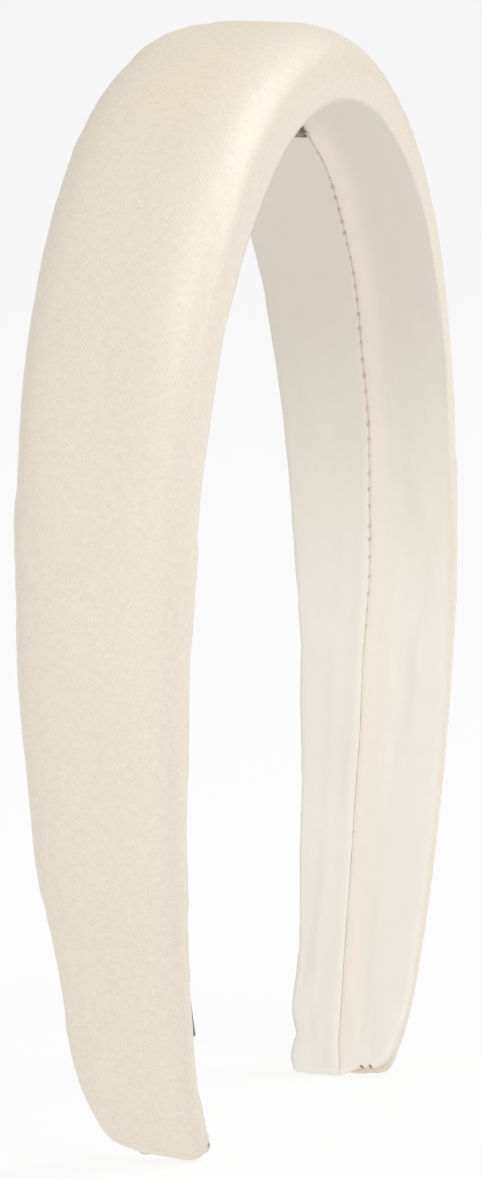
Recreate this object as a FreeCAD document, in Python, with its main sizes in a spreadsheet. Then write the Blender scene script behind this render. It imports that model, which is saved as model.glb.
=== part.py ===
"""Padded satin headband: a sprung hoop with a foam pad, wrapped in one satin cover.

Frame: +Z up, the hoop lies in the XZ plane and its band width runs along Y.
The origin is on the floor, midway between the two tips that the band stands on.
Millimetres and degrees throughout.
"""
import FreeCAD, Part
import math
import os

import Sketcher

Vector = FreeCAD.Vector

SIZES = (
    # finished band, measured on its inner face
    ("crown_radius", 63.0),
    ("crown_angle", 67.0),
    ("shoulder_radius", 83.0),
    ("shoulder_angle", 16.0),
    ("leg_radius", 126.0),
    ("inner_height", 144.6),
    ("crown_width", 29.0),
    ("tip_width", 18.4),
    ("crown_thickness", 12.0),
    ("tip_thickness", 5.6),
    ("crown_outer_round_share", 0.667),
    ("tip_outer_round_share", 0.607),
    ("crown_inner_round_share", 0.208),
    ("tip_inner_round_share", 0.268),
    ("tip_corner_round", 4.5),
    # satin cover
    ("cover_thickness", 0.5),
    ("end_thickness", 0.8),
    ("cover_slack", 0.1),
    ("seam_gap", 0.5),
    ("seam_crown_y", -1.9),
    ("seam_tip_y", 2.3),
    ("seam_end_height", 4.0),
    ("end_seam_gap", 0.4),
    ("end_seam_width", 9.0),
    # filling, from the inner face outwards
    ("padding_thickness", 1.2),
    ("padding_crown_width", 22.0),
    ("padding_tip_width", 12.0),
    ("core_thickness", 1.8),
    ("core_crown_width", 20.0),
    ("core_tip_width", 11.0),
    ("core_end_height", 3.0),
    ("tape_thickness", 0.2),
    ("tape_crown_width", 18.0),
    ("tape_tip_width", 9.0),
    # thread
    ("thread_radius", 0.12),
    ("stitch_pitch", 2.5),
    ("stitch_slack", 0.02),
    # crown label, a folded tape whose ends are caught in the seam
    ("label_centre", 19.0),
    ("label_length", 18.0),
    ("label_depth", 9.0),
    ("label_thickness", 0.5),
    ("label_gap", 0.3),
    ("label_end_thickness", 0.25),
    # blank label pressed on the inside of the left leg
    ("tip_label_height", 17.0),
    ("tip_label_length", 7.5),
    ("tip_label_width", 6.5),
    ("tip_label_edge", 0.2),
    ("tip_label_thickness", 0.3),
    ("tip_label_glue", 0.06),
)

LOFT_STATIONS_PER_SIDE = 14
LOFT_OVERRUN = 0.04
WIDTH_TAPER_POWER = 1.5
THICKNESS_TAPER_POWER = 1.23
SEAM_DRIFT_POWER = 1.0
END_STITCHES = 4
CUT_MARGIN = 5.0
DEGREES = "180 / pi"

doc = FreeCAD.newDocument("padded_headband")
parts = []


# ---------------------------------------------------------------- sizes

def make_sizes():
    """Write the driving dimensions, one aliased number a row."""
    sheet = doc.addObject("Spreadsheet::Sheet", "dims")
    for row, (alias, number) in enumerate(SIZES, start=1):
        sheet.set("A%d" % row, alias)
        sheet.set("B%d" % row, str(number))
        sheet.setAlias("B%d" % row, alias)
    doc.recompute()
    return sheet


def make_hoop_geometry():
    """Bind the inner face's arc centres and lengths to the driving dimensions."""
    formulas = (
        ("crown_z", "dims.inner_height - dims.crown_radius"),
        ("shoulder_end", "dims.crown_angle + dims.shoulder_angle"),
        ("shoulder_x", "(dims.crown_radius - dims.shoulder_radius) * sin(dims.crown_angle)"),
        ("shoulder_z", "hoop.crown_z + (dims.crown_radius - dims.shoulder_radius) * cos(dims.crown_angle)"),
        ("leg_x", "hoop.shoulder_x + (dims.shoulder_radius - dims.leg_radius) * sin(hoop.shoulder_end)"),
        ("leg_z", "hoop.shoulder_z + (dims.shoulder_radius - dims.leg_radius) * cos(hoop.shoulder_end)"),
        ("leg_end", "acos(-hoop.leg_z / dims.leg_radius) / 1deg"),
        ("crown_length", "dims.crown_radius * dims.crown_angle * pi / 180"),
        ("leg_start", "hoop.crown_length + dims.shoulder_radius * dims.shoulder_angle * pi / 180"),
        ("half_length", "hoop.leg_start + dims.leg_radius * (hoop.leg_end - hoop.shoulder_end) * pi / 180"),
    )
    geometry = doc.addObject("App::VarSet", "hoop")
    for name, formula in formulas:
        geometry.addProperty("App::PropertyFloat", name)
        geometry.setExpression(name, formula)
        doc.recompute()


def value(expression):
    """The number that an expression gives now."""
    return float(dims.evalExpression(expression))


def mixed(crown_alias, tip_alias, share):
    """A size that is share of the way from its tip value to its crown value."""
    return "(dims.%s + (dims.%s - dims.%s) * %.6f)" % (tip_alias, crown_alias, tip_alias, share)


def rounding(side, share):
    """Corner radius on the inner or outer side of the band, a share of the thickness there."""
    return ("(dims.tip_%s_round_share * dims.tip_thickness * (1 - %.6f)"
            " + dims.crown_%s_round_share * dims.crown_thickness * %.6f)" % (side, share, side, share))


def taper(share, power):
    """Smooth fall from 1 at the crown to 0 at the tip."""
    reach = min(abs(share), 1.0)
    return (1.0 + math.cos(math.pi * reach ** power)) / 2.0


def hoop_point(side, distance, offset="0"):
    """X, Z and angle expressions at a distance from the crown along the inner face.

    side is 1 for the right leg (+X) or -1 for the left one; offset is measured outwards.
    """
    reached = value(distance)
    if reached <= value("hoop.crown_length"):
        angle = "(%s) / dims.crown_radius * %s" % (distance, DEGREES)
        radius = "dims.crown_radius"
        centre_x = "0"
        centre_z = "hoop.crown_z"
    elif reached <= value("hoop.leg_start"):
        turned = "((%s) - hoop.crown_length) / dims.shoulder_radius * %s" % (distance, DEGREES)
        angle = "dims.crown_angle + " + turned
        radius = "dims.shoulder_radius"
        centre_x = "hoop.shoulder_x"
        centre_z = "hoop.shoulder_z"
    else:
        turned = "((%s) - hoop.leg_start) / dims.leg_radius * %s" % (distance, DEGREES)
        angle = "hoop.shoulder_end + " + turned
        radius = "dims.leg_radius"
        centre_x = "hoop.leg_x"
        centre_z = "hoop.leg_z"
    x = "%d * (%s + (%s + %s) * sin(%s))" % (side, centre_x, radius, offset, angle)
    z = "%s + (%s + %s) * cos(%s)" % (centre_z, radius, offset, angle)
    return x, z, "%d * (%s)" % (side, angle)


def seam_y(share):
    """Y of the inner seam, which drifts from the front of the crown to the back of the tips."""
    return mixed("seam_crown_y", "seam_tip_y", taper(share, SEAM_DRIFT_POWER))


def placement(x, y, z, axis, angle):
    """Expression of a placement: a place, and a turn about X, Y or Z."""
    direction = {"X": "1; 0; 0", "Y": "0; 1; 0", "Z": "0; 0; 1"}[axis]
    return ("create(<<placement>>; create(<<vector>>; %s; %s; %s); "
            "create(<<rotation>>; create(<<vector>>; %s); %s))" % (x, y, z, direction, angle))


# ---------------------------------------------------------------- sketches

def new_body(label):
    body = doc.addObject("PartDesign::Body", label)
    body.Label = label
    body.AllowCompound = True
    return body


def new_sketch(body, name, plane_role):
    """A sketch on one of the body's own origin planes."""
    sketch = body.newObject("Sketcher::SketchObject", name)
    plane = [item for item in body.Origin.OriginFeatures if item.Role == plane_role][0]
    sketch.AttachmentSupport = [(plane, "")]
    sketch.MapMode = "FlatFace"
    return sketch


def bind(sketch, constraint, expression):
    index = sketch.addConstraint(constraint)
    sketch.setExpression("Constraints[%d]" % index, expression)


def fix_point(sketch, geometry, end, x, y):
    """Hold one end of a line or arc at expressions for its sketch coordinates."""
    bind(sketch, Sketcher.Constraint("DistanceX", -1, 1, geometry, end, value(x)), x)
    bind(sketch, Sketcher.Constraint("DistanceY", -1, 1, geometry, end, value(y)), y)


def arc_between(start, end, centre, turn):
    """An arc from start to end, counter-clockwise where turn is 1 and clockwise where it is -1."""
    first, last = (start, end) if turn > 0 else (end, start)
    circle = Part.Circle(centre, Vector(0, 0, 1), (start - centre).Length)
    from_angle = math.atan2(first.y - centre.y, first.x - centre.x)
    to_angle = math.atan2(last.y - centre.y, last.x - centre.x)
    if to_angle <= from_angle:
        to_angle += 2 * math.pi
    return Part.ArcOfCircle(circle, from_angle, to_angle)


def outline(sketch, corners, arcs):
    """A closed outline through corners, each a pair of expressions.

    arcs maps an edge, numbered by the corner where it starts, to the expressions of its
    centre and radius and its turn. The other edges are straight.
    """
    points = [Vector(value(x), value(y), 0) for x, y in corners]
    count = len(points)
    ends = []
    for number, start in enumerate(points):
        end = points[(number + 1) % count]
        if number in arcs:
            centre_x, centre_y, _, turn = arcs[number]
            curve = arc_between(start, end, Vector(value(centre_x), value(centre_y), 0), turn)
        else:
            curve = Part.LineSegment(start, end)
            turn = 1
        start_end, far_end = (1, 2) if turn > 0 else (2, 1)
        ends.append((sketch.addGeometry(curve, False), start_end, far_end))
    for number, (geometry, start_end, far_end) in enumerate(ends):
        following, following_start, _ = ends[(number + 1) % count]
        sketch.addConstraint(Sketcher.Constraint("Coincident", geometry, far_end, following, following_start))
        fix_point(sketch, geometry, start_end, *corners[number])
        if number in arcs:
            radius = arcs[number][2]
            bind(sketch, Sketcher.Constraint("Radius", geometry, value(radius)), radius)


def rounded_section(sketch, half_width, low, high, low_round, high_round):
    """A band section: flat inner side at low, flat outer side at high, four round corners."""
    left, right = "-" + half_width, half_width
    corners = (("%s + %s" % (left, low_round), low), ("%s - %s" % (right, low_round), low),
               (right, "%s + %s" % (low, low_round)), (right, "%s - %s" % (high, high_round)),
               ("%s - %s" % (right, high_round), high), ("%s + %s" % (left, high_round), high),
               (left, "%s - %s" % (high, high_round)), (left, "%s + %s" % (low, low_round)))
    arcs = {1: (corners[1][0], corners[2][1], low_round, 1),
            3: (corners[4][0], corners[3][1], high_round, 1),
            5: (corners[5][0], corners[6][1], high_round, 1),
            7: (corners[0][0], corners[7][1], low_round, 1)}
    outline(sketch, corners, arcs)


def hoop_outline(sketch, low, high, end_height):
    """Ring outline in the XZ plane between two offsets of the inner face, ends cut level."""
    corners = []
    arcs = {}
    for offset, turn in ((low, -1), (high, 1)):
        leg_radius = "(dims.leg_radius + %s)" % offset
        stretches = (
            ("0", "hoop.crown_z", "(dims.crown_radius + %s)" % offset, "dims.crown_angle"),
            ("hoop.shoulder_x", "hoop.shoulder_z", "(dims.shoulder_radius + %s)" % offset,
             "hoop.shoulder_end"),
            ("hoop.leg_x", "hoop.leg_z", leg_radius,
             "acos((%s - hoop.leg_z) / %s) / 1deg" % (end_height, leg_radius)))
        path = [(side, stretch) for side, order in ((turn, reversed(stretches)), (-turn, stretches))
                for stretch in order]
        start = len(corners)
        for side, (centre_x, centre_z, radius, angle) in path:
            x = "%d * (%s + %s * sin(%s))" % (side, centre_x, radius, angle)
            z = "%s + %s * cos(%s)" % (centre_z, radius, angle)
            corners.append((x, z))
        spans = [path[0], path[1], path[2], path[4], path[5]]
        for number, (side, (centre_x, centre_z, radius, _)) in enumerate(spans, start=start):
            arcs[number] = ("%d * (%s)" % (side, centre_x), centre_z, radius, turn)
    outline(sketch, corners, arcs)


# ---------------------------------------------------------------- features

def add_pad(body, sketch, length, side_type="Symmetric"):
    pad = body.newObject("PartDesign::Pad", sketch.Name + "_pad")
    pad.Profile = sketch
    pad.setExpression("Length", length)
    pad.SideType = side_type
    doc.recompute()


def add_pocket(body, sketch, length=None):
    """Cut a sketch out of the body both ways from its plane, right through or over a length."""
    before = body.Shape.Volume
    pocket = body.newObject("PartDesign::Pocket", sketch.Name + "_cut")
    pocket.Profile = sketch
    pocket.SideType = "Symmetric"
    if length is None:
        pocket.Type = "ThroughAll"
    else:
        pocket.setExpression("Length", length)
    doc.recompute()
    if body.Shape.Volume >= before:
        raise RuntimeError("%s cut nothing" % pocket.Name)


def loft_along_hoop(body, reach, draw_section):
    """Loft sections set square to the hoop, from one leg over the crown to the other.

    reach is the share of each leg that is covered; draw_section takes a sketch and its share.
    """
    sections = []
    for number in range(-LOFT_STATIONS_PER_SIDE, LOFT_STATIONS_PER_SIDE + 1):
        share = reach * number / LOFT_STATIONS_PER_SIDE
        side = 1 if number >= 0 else -1
        x, z, angle = hoop_point(side, "%.6f * hoop.half_length" % abs(share))
        name = "%s_section_%02d" % (body.Label, number + LOFT_STATIONS_PER_SIDE)
        sketch = new_sketch(body, name, "YZ_Plane")
        sketch.setExpression("AttachmentOffset", placement("0", z, x, "X", angle))
        draw_section(sketch, share)
        sections.append(sketch)
    doc.recompute()
    loft = body.newObject("PartDesign::AdditiveLoft", body.Label + "_loft")
    loft.Profile = sections[0]
    loft.Sections = sections[1:]
    doc.recompute()


def trim_tips(body, inset, height):
    """Cut the band's ends off level at a height and round their corners, seen along X."""
    reach = "(dims.leg_radius + dims.crown_thickness)"
    below = "(%s - dims.crown_thickness - %.3f * hoop.half_length)" % (height, LOFT_OVERRUN)
    level = new_sketch(body, body.Label + "_level", "XZ_Plane")
    outline(level, (("-" + reach, below), (reach, below), (reach, height), ("-" + reach, height)), {})
    add_pocket(body, level)
    radius = "(dims.tip_corner_round - %s)" % inset
    half = "(dims.tip_width / 2 - %s)" % inset
    beyond = "(%s + %.1f)" % (half, CUT_MARGIN)
    corners = new_sketch(body, body.Label + "_corners", "YZ_Plane")
    for side in (1, -1):
        foot = "%d * (%s - %s)" % (side, half, radius)
        top = "%s + %s" % (height, radius)
        outline(corners,
                ((foot, height), ("%d * %s" % (side, half), top), ("%d * %s" % (side, beyond), top),
                 ("%d * %s" % (side, beyond), below), (foot, below)),
                {0: (foot, top, radius, side)})
    add_pocket(body, corners)


def band_block(label, inset, end_height):
    """The band's outline as one solid, inset all over, its ends at a height above the floor."""
    def draw_section(sketch, share):
        width_share = taper(share, WIDTH_TAPER_POWER)
        depth_share = taper(share, THICKNESS_TAPER_POWER)
        rounded_section(
            sketch,
            "(%s / 2 - %s)" % (mixed("crown_width", "tip_width", width_share), inset),
            "(%s)" % inset,
            "(%s - %s)" % (mixed("crown_thickness", "tip_thickness", depth_share), inset),
            "(%s - %s)" % (rounding("inner", depth_share), inset),
            "(%s - %s)" % (rounding("outer", depth_share), inset))

    body = new_body(label)
    loft_along_hoop(body, 1.0 + LOFT_OVERRUN, draw_section)
    trim_tips(body, inset, end_height)
    return body


def hoop_strip(label, low, high, crown_width, tip_width):
    """A strip bent to the hoop between two offsets, its width tapering from crown to tips."""
    body = new_body(label)
    ring = new_sketch(body, label + "_ring", "XZ_Plane")
    hoop_outline(ring, low, high, "dims.core_end_height")
    add_pad(body, ring, crown_width)
    taper_sketch = new_sketch(body, label + "_taper", "YZ_Plane")
    for side in (1, -1):
        crown_edge = "%d * %s / 2" % (side, crown_width)
        tip_edge = "%d * %s / 2" % (side, tip_width)
        beyond = "%d * (%s / 2 + %.1f)" % (side, crown_width, CUT_MARGIN)
        below = "-%.1f" % CUT_MARGIN
        outline(taper_sketch, ((tip_edge, "0"), (tip_edge, below), (beyond, below),
                               (beyond, "dims.inner_height"), (crown_edge, "dims.inner_height")), {})
    add_pocket(body, taper_sketch)
    return body


def cut(label, base, tool):
    result = doc.addObject("Part::Cut", label)
    result.Base = base
    result.Tool = tool
    result.Label = label
    return result


def common(label, base, tool):
    result = doc.addObject("Part::Common", label)
    result.Base = base
    result.Tool = tool
    result.Label = label
    return result


def group(label, members):
    result = doc.addObject("Part::Compound", label)
    result.Links = members
    result.Label = label
    return result


def keep(part):
    """Count an object among the sub-parts that are written out."""
    parts.append(part)
    return part


# ---------------------------------------------------------------- filling

PADDING_LOW = "(dims.cover_thickness + dims.cover_slack)"
CORE_LOW = "(%s + dims.padding_thickness)" % PADDING_LOW
TAPE_LOW = "(%s + dims.core_thickness)" % CORE_LOW
FOAM_LOW = "(%s + dims.tape_thickness)" % TAPE_LOW
FILLING_END = "(dims.end_thickness + dims.cover_slack)"
CLEAR_OF_FACE = "(-%.1f)" % CUT_MARGIN


def make_inner_padding():
    """Thin soft strip between the cover and the hoop's inner side."""
    keep(hoop_strip("inner_padding", PADDING_LOW, CORE_LOW,
                    "dims.padding_crown_width", "dims.padding_tip_width"))


def make_core_band():
    """Sprung plastic hoop."""
    keep(hoop_strip("core_band", CORE_LOW, TAPE_LOW, "dims.core_crown_width", "dims.core_tip_width"))


def make_adhesive_tape():
    """Double-sided tape that holds the foam on the hoop."""
    keep(hoop_strip("adhesive_tape", TAPE_LOW, FOAM_LOW, "dims.tape_crown_width", "dims.tape_tip_width"))


def make_foam_pad():
    """Foam pad with a channel for the hoop, its tape and the inner padding."""
    block = band_block("foam_block", PADDING_LOW, FILLING_END)
    hoop_channel = hoop_strip("hoop_channel", CLEAR_OF_FACE, FOAM_LOW,
                              "dims.core_crown_width", "dims.core_tip_width")
    padding_channel = hoop_strip("padding_channel", CLEAR_OF_FACE, CORE_LOW,
                                 "dims.padding_crown_width", "dims.padding_tip_width")
    keep(cut("foam_pad", cut("foam_with_channel", block, hoop_channel), padding_channel))


# ---------------------------------------------------------------- cover

def end_seam_x():
    """X of a tip's closing seam: halfway between the panels where they meet the floor."""
    x, _, _ = hoop_point(1, "hoop.half_length")
    return "(%s + dims.tip_thickness / 2)" % x


def make_seam_slit():
    """The gap between the cover's two edges, from inside the filling's space to clear of the face."""
    def draw_section(sketch, share):
        back = "(%s + dims.seam_gap / 2)" % seam_y(share)
        front = "(%s - dims.seam_gap / 2)" % seam_y(share)
        outline(sketch, ((front, CLEAR_OF_FACE), (back, CLEAR_OF_FACE),
                         (back, PADDING_LOW), (front, PADDING_LOW)), {})

    body = new_body("seam_slit")
    loft_along_hoop(body, value("1 - dims.seam_end_height / hoop.half_length"), draw_section)
    return body


def make_satin_cover(seam_slit):
    """Satin wrapped round the filling, its edges meeting in a seam along the inner face."""
    outside = band_block("cover_outside", "0", "0")
    end_seams = new_sketch(outside, "end_seam_slits", "XY_Plane")
    back = "dims.end_seam_width / 2"
    for side in (1, -1):
        near = "%d * (%s - dims.end_seam_gap / 2)" % (side, end_seam_x())
        far = "%d * (%s + dims.end_seam_gap / 2)" % (side, end_seam_x())
        outline(end_seams, ((near, "-" + back), (far, "-" + back), (far, back), (near, back)), {})
    add_pocket(outside, end_seams, "2 * %s" % FILLING_END)
    inside = band_block("cover_inside", "dims.cover_thickness", "dims.end_thickness")
    keep(cut("satin_cover", cut("cover_with_seam", outside, seam_slit), inside))


# ---------------------------------------------------------------- thread

def thread(name, length, place):
    """One straight run of thread."""
    run = doc.addObject("Part::Cylinder", name)
    run.setExpression("Radius", "dims.thread_radius")
    run.setExpression("Height", length)
    run.setExpression("Placement", place)
    return run


def make_seam_thread():
    """Ladder stitches: short runs of thread across the seam, evenly spaced along the inner face."""
    stretch = value("hoop.half_length - dims.seam_end_height - dims.stitch_pitch")
    per_side = int(stretch // value("dims.stitch_pitch"))
    runs = []
    for number in range(-per_side, per_side + 1):
        side = 1 if number >= 0 else -1
        distance = "%d * dims.stitch_pitch" % abs(number)
        x, z, _ = hoop_point(side, distance, "dims.cover_thickness / 2")
        middle = seam_y(value(distance + " / hoop.half_length"))
        front = "%s - dims.seam_gap / 2 + dims.stitch_slack" % middle
        runs.append(thread("seam_stitch_%03d" % (number + per_side),
                           "dims.seam_gap - 2 * dims.stitch_slack", placement(x, front, z, "X", "-90")))
    return keep(group("seam_thread", runs))


def make_end_stitches(label, side):
    """Closing stitches across the seam at one tip, evenly spaced along it."""
    start = "(%d * %s - dims.end_seam_gap / 2)" % (side, end_seam_x())
    runs = []
    for number in range(END_STITCHES):
        share = (number + 0.5) / END_STITCHES - 0.5
        runs.append(thread("%s_%d" % (label, number), "dims.end_seam_gap",
                           placement(start, "%.4f * dims.end_seam_width" % share,
                                     "dims.end_thickness / 2", "Y", "90")))
    keep(group(label, runs))


# ---------------------------------------------------------------- labels

LABEL_SAG = "(dims.label_length ^ 2 / (8 * dims.crown_radius))"
LABEL_AXIS = "(-(%s + dims.label_gap + dims.label_thickness / 2))" % LABEL_SAG


def set_on_crown(body, offset):
    """Place a body at the crown label: its X along the seam, its Z outwards."""
    x, z, angle = hoop_point(1, "dims.label_centre", offset)
    y = seam_y(value("dims.label_centre / hoop.half_length"))
    body.setExpression("Placement", placement(x, y, z, "Y", angle))


def make_crown_label():
    """The loop of the folded label, which swings about an axis at the mouth of the seam."""
    body = new_body("crown_label")
    section = new_sketch(body, "label_section", "YZ_Plane")
    radius = "(dims.label_thickness / 2)"
    fold = "(dims.label_depth - %s)" % radius
    outline(section,
            (("0", "-" + radius), (fold, "-" + radius), ("dims.label_depth", "0"), (fold, radius),
             ("0", radius), ("-" + radius, "0")),
            {1: (fold, "0", radius, 1), 2: (fold, "0", radius, 1),
             4: ("0", "0", radius, 1), 5: ("0", "0", radius, 1)})
    add_pad(body, section, "dims.label_length")
    set_on_crown(body, LABEL_AXIS)
    keep(body)


def make_label_ends(seam_slit, seam_thread):
    """The label's cut ends, caught between the seam's edges and pierced by its thread."""
    body = new_body("label_ends_blank")
    face = new_sketch(body, "label_ends_face", "XZ_Plane")
    half = "(dims.label_length / 2 - dims.label_thickness)"
    foot = "(%s + dims.label_thickness / 2 + dims.label_gap / 2)" % LABEL_AXIS
    top_radius = "(dims.crown_radius + dims.cover_thickness)"
    shoulder = "(sqrt(%s ^ 2 - %s ^ 2) - dims.crown_radius)" % (top_radius, half)
    outline(face,
            (("-" + half, foot), (half, foot), (half, shoulder), ("-" + half, shoulder)),
            {2: ("0", "-dims.crown_radius", top_radius, 1)})
    add_pad(body, face, "dims.label_end_thickness")
    set_on_crown(body, "0")
    keep(cut("label_ends", common("label_ends_in_seam", body, seam_slit), seam_thread))


def make_tip_label():
    """Blank label on the left leg's inner face, between the seam and the front edge."""
    body = new_body("tip_label")
    side_face = new_sketch(body, "tip_label_side", "XZ_Plane")
    low = "dims.tip_label_height"
    high = "(dims.tip_label_height + dims.tip_label_length)"
    back = "(dims.leg_radius - dims.tip_label_glue)"
    front = "(%s - dims.tip_label_thickness)" % back
    corners = []
    for radius, height in ((back, low), (back, high), (front, high), (front, low)):
        corners.append(("-(hoop.leg_x + sqrt(%s ^ 2 - (%s - hoop.leg_z) ^ 2))" % (radius, height), height))
    outline(side_face, corners,
            {0: ("-hoop.leg_x", "hoop.leg_z", back, -1), 2: ("-hoop.leg_x", "hoop.leg_z", front, 1)})
    add_pad(body, side_face, "dims.tip_label_width", "One side")
    front_edge = "(dims.tip_width / 2 - %s - dims.tip_label_edge)" % rounding("inner", 0)
    body.setExpression("Placement", placement("0", "dims.tip_label_width - " + front_edge, "0", "Z", "0"))
    keep(body)


# ---------------------------------------------------------------- build and write

dims = make_sizes()
make_hoop_geometry()
make_inner_padding()
make_core_band()
make_adhesive_tape()
make_foam_pad()
seam_slit = make_seam_slit()
make_satin_cover(seam_slit)
seam_stitches = make_seam_thread()
make_end_stitches("left_end_stitches", -1)
make_end_stitches("right_end_stitches", 1)
make_crown_label()
make_label_ends(seam_slit, seam_stitches)
make_tip_label()
doc.recompute()

for item in doc.Objects:
    if "Invalid" in item.State or "Error" in item.State:
        raise RuntimeError("%s did not recompute: %s" % (item.Label, item.State))
for part in parts:
    if part.Shape.isNull() or not part.Shape.isValid():
        raise RuntimeError("%s has no valid shape" % part.Label)
os.makedirs("parts", exist_ok=True)
for part in parts:
    part.Shape.exportStep(os.path.join("parts", part.Label + ".step"))
    print("%-20s %3d solids %10.1f mm3" % (part.Label, len(part.Shape.Solids), part.Shape.Volume))
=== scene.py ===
"""Looks of the padded satin headband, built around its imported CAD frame.

The frame is the CAD part's: metres, +Z up, the hoop in the XZ plane, both tips on the floor.
A place on the band is given as distance along the inner face from the crown (positive
towards +X), y across the band, and depth outwards from the inner face.
"""

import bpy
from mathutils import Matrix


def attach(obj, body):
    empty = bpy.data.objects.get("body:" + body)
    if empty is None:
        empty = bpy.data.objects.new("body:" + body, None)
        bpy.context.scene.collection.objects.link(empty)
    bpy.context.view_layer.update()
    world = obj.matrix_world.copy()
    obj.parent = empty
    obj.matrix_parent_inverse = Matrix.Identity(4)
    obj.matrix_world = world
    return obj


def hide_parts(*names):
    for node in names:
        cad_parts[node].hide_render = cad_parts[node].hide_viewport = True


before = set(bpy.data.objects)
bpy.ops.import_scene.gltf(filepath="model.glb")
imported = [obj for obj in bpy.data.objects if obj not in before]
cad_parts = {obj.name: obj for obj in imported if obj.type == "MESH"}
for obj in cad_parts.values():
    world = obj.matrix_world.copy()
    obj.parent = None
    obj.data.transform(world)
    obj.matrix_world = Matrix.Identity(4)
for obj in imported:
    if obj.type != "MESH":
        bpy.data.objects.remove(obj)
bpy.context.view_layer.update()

import math

import bpy
import numpy as np
from mathutils import Matrix, Vector

MM = 0.001
SEED = 7

# the band: the CAD part's hoop, and a section a little inside its outline
CROWN_RADIUS = 63 * MM
CROWN_ANGLE = math.radians(67)
SHOULDER_RADIUS = 83 * MM
SHOULDER_ANGLE = math.radians(16)
LEG_RADIUS = 126 * MM
INNER_HEIGHT = 144.6 * MM
CROWN_HALF_WIDTH = 14.35 * MM
TIP_HALF_WIDTH = 9.1 * MM
CROWN_THICKNESS = 11.9 * MM
TIP_THICKNESS = 5.2 * MM
WIDTH_TAPER_POWER = 1.5
THICKNESS_TAPER_POWER = 1.23
TIP_CORNER_ROUND = 2.2 * MM
SEAM_CROWN_Y = -1.9 * MM
SEAM_TIP_Y = 2.3 * MM

# the band's section: a rounded bulge outside, nearly flat inside
BULGE_POWER = 3.1
INSIDE_POWER = 6.0
EDGE_SHARE = 0.12

# satin and its seams
CLOTH_THICKNESS = 0.4 * MM
CLOTH_STRETCH = 1.08
SEAM_LIP = 0.7 * MM
SEAM_DEPTH = 0.3 * MM
HEM_DEPTH = 0.75 * MM
HEM_WIDTH = 5.5 * MM
HEM_RISE = 0.16 * MM
CAP_DEPTH = 1.7 * MM
CAP_PINCH = 0.5 * MM
STITCH_PITCH = 2.5 * MM
THREAD_RADIUS = 0.11 * MM

ROWS_PER_SIDE = 280
CAP_ROWS = 7
COLUMNS = 104
LIP_COLUMNS = 9
HEM_COLUMNS = 3
CLOTH_FRAMES = 20

# where the hand-made tips differ from the even form, in mm from each tip, left tip first:
# fades are (amount, full up to, gone by) and swells are (amount, centre, reach)
BACK_FADES = (((0.7, 30, 52), (0.25, 8, 20), (0.3, 1, 6)), ((0.2, 1, 6), (1.75, 4, 36)))
BACK_SWELLS = ((), ((0.45, 6.8, 1.6), (-0.6, 11.5, 3.2)))
FRONT_FADES = (((0.45, 6, 26),), ((1.5, 2, 14),))
FRONT_SWELLS = (((0.45, 14, 9), (0.25, 28, 9), (-0.55, 0, 4)), ())
LEFT_BACK_ROUND = 11 * MM
LEFT_BACK_ROUND_START = 19 * MM


# ---------------------------------------------------------------- the hoop

def hoop_arcs():
    """Each arc of half the inner face: start distance, start angle, radius and centre."""
    crown_z = INNER_HEIGHT - CROWN_RADIUS
    second = CROWN_RADIUS * CROWN_ANGLE
    second_x = (CROWN_RADIUS - SHOULDER_RADIUS) * math.sin(CROWN_ANGLE)
    second_z = crown_z + (CROWN_RADIUS - SHOULDER_RADIUS) * math.cos(CROWN_ANGLE)
    third = second + SHOULDER_RADIUS * SHOULDER_ANGLE
    third_angle = CROWN_ANGLE + SHOULDER_ANGLE
    third_x = second_x + (SHOULDER_RADIUS - LEG_RADIUS) * math.sin(third_angle)
    third_z = second_z + (SHOULDER_RADIUS - LEG_RADIUS) * math.cos(third_angle)
    return ((0.0, 0.0, CROWN_RADIUS, 0.0, crown_z),
            (second, CROWN_ANGLE, SHOULDER_RADIUS, second_x, second_z),
            (third, third_angle, LEG_RADIUS, third_x, third_z))


ARCS = hoop_arcs()
LEG_END_ANGLE = math.acos(-ARCS[2][4] / LEG_RADIUS)
HALF_LENGTH = ARCS[2][0] + LEG_RADIUS * (LEG_END_ANGLE - ARCS[2][1])


def hoop(distance):
    """X, Z and outward angle of the inner face at distances from the crown."""
    side = np.where(distance < 0, -1.0, 1.0)
    reach = np.abs(distance)
    x, z, angle = (np.zeros_like(reach) for _ in range(3))
    for start, first_angle, radius, centre_x, centre_z in ARCS:
        on = reach >= start
        turned = first_angle + (reach - start) / radius
        x = np.where(on, centre_x + radius * np.sin(turned), x)
        z = np.where(on, centre_z + radius * np.cos(turned), z)
        angle = np.where(on, turned, angle)
    return side * x, z, side * angle


def on_band(distance, y, depth):
    """World points at distances along the hoop, y across it and depths outwards."""
    places = (np.asarray(item, float) for item in (distance, y, depth))
    distance, y, depth = np.broadcast_arrays(*places)
    x, z, angle = hoop(distance)
    return np.stack([x + depth * np.sin(angle), y, z + depth * np.cos(angle)], -1)


def taper(share, power):
    return (1 + np.cos(np.pi * np.clip(np.abs(share), 0, 1) ** power)) / 2


def tapered(distance, crown, tip, power):
    """A size that runs from its crown value to its tip value."""
    return tip + (crown - tip) * taper(distance / HALF_LENGTH, power)


def half_width(distance):
    return tapered(distance, CROWN_HALF_WIDTH, TIP_HALF_WIDTH, WIDTH_TAPER_POWER)


def thickness(distance):
    return tapered(distance, CROWN_THICKNESS, TIP_THICKNESS, THICKNESS_TAPER_POWER)


def smooth_step(value, low, high):
    share = np.clip((value - low) / (high - low), 0, 1)
    return share * share * (3 - 2 * share)


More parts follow.
